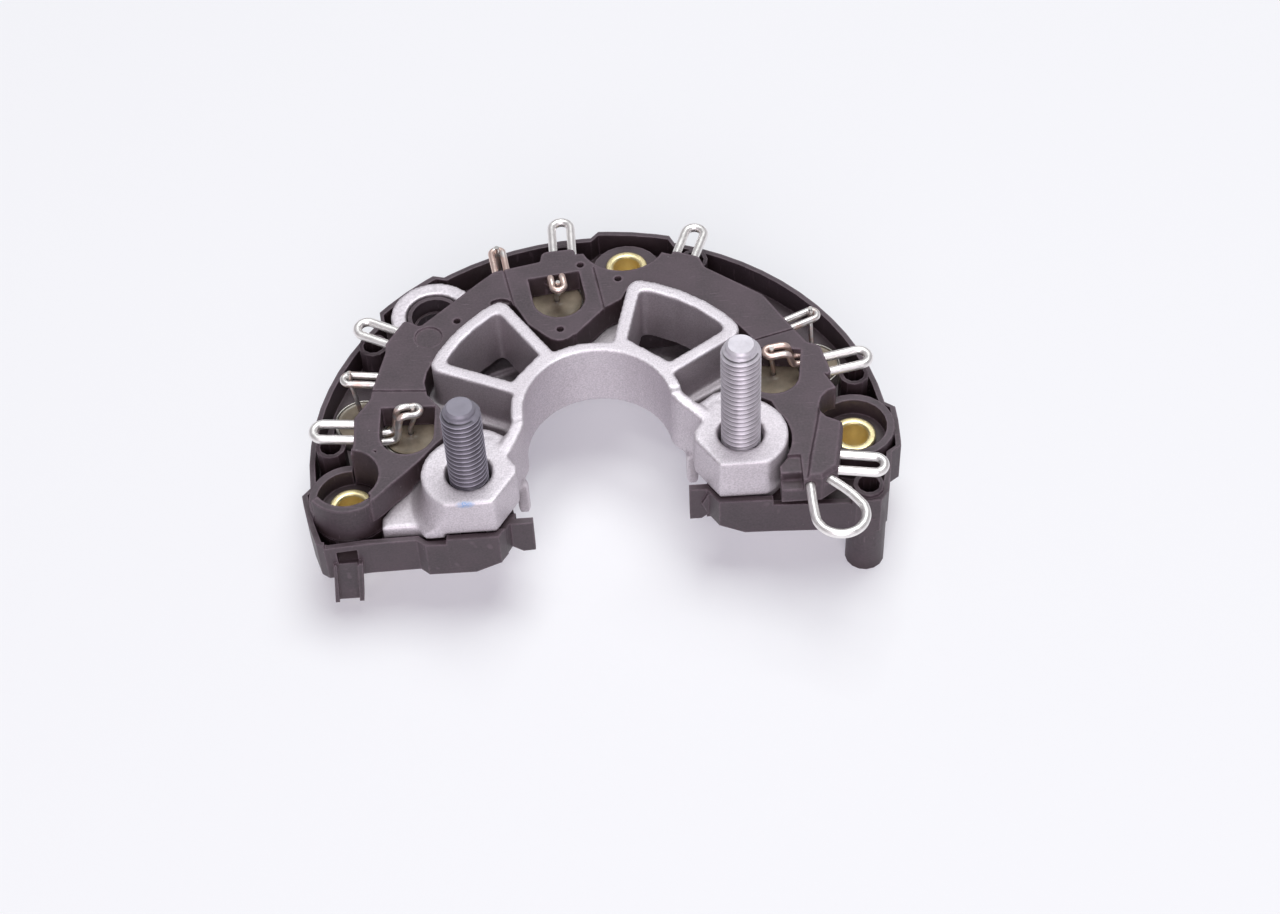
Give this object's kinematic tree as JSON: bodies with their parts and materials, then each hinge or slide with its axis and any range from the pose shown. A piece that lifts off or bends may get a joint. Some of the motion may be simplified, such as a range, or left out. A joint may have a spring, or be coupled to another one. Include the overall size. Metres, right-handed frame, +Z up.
{
  "type": "alternator rectifier",
  "caption": "Horseshoe bridge rectifier for a vehicle alternator: cast heat sink with ring and pockets, moulded tray, wire loops, hollow rivets and threaded output studs.",
  "frame": {"origin": "middle of the part's outline, on the surface that its moulded wire guides stand on", "axes": "+Z up along the studs and the bore's axis, +X along the flat ends of the horseshoe, +Y towards its closed, round side"},
  "size_m": [0.1228, 0.0958, 0.0588],
  "materials": {
    "cast_aluminium": "as-cast, matt and finely grained",
    "plate_aluminium": "matt",
    "tray_plastic": "moulded, satin",
    "board_plastic": "moulded, satin",
    "tinned_wire": "tinned, bright",
    "tinned_copper": "tinned copper, uneven",
    "copper_lead": "dull copper",
    "dark_zinc_steel": "zinc plated, dark",
    "zinc_steel": "zinc plated, light",
    "yellow_zinc": "yellow passivated",
    "diode_can": "satin",
    "potting_resin": "cast resin"
  },
  "bodies": {
    "root": {"positive_heat_sink": "cast_aluminium", "insulator_tray": "tray_plastic", "negative_heat_sink": "plate_aluminium", "ear_liner": "tray_plastic", "wiring_board": "board_plastic", "stator_loop_1": "tinned_wire", "stator_loop_2": "tinned_wire", "stator_loop_3": "tinned_wire", "stator_loop_4": "tinned_wire", "stator_loop_5": "tinned_wire", "stator_loop_6": "tinned_wire", "negative_clip_1": "tinned_copper", "negative_clip_2": "tinned_copper", "negative_clip_3": "tinned_copper", "positive_clip_1": "tinned_copper", "positive_clip_2": "tinned_copper", "positive_clip_3": "tinned_copper", "tap_loop": "tinned_wire", "stud_left": "dark_zinc_steel", "stud_right": "zinc_steel", "rivet_top": "yellow_zinc", "rivet_left": "yellow_zinc", "rivet_right": "yellow_zinc", "positive_diode_can_1": "diode_can", "positive_diode_resin_1": "potting_resin", "positive_diode_lead_1": "copper_lead", "positive_diode_can_2": "diode_can", "positive_diode_resin_2": "potting_resin", "positive_diode_lead_2": "copper_lead", "positive_diode_can_3": "diode_can", "positive_diode_resin_3": "potting_resin", "positive_diode_lead_3": "copper_lead", "negative_diode_can_1": "diode_can", "negative_diode_resin_1": "potting_resin", "negative_diode_lead_1": "copper_lead", "negative_diode_can_2": "diode_can", "negative_diode_resin_2": "potting_resin", "negative_diode_lead_2": "copper_lead", "negative_diode_can_3": "diode_can", "negative_diode_resin_3": "potting_resin", "negative_diode_lead_3": "copper_lead"}
  },
  "joints": []
}
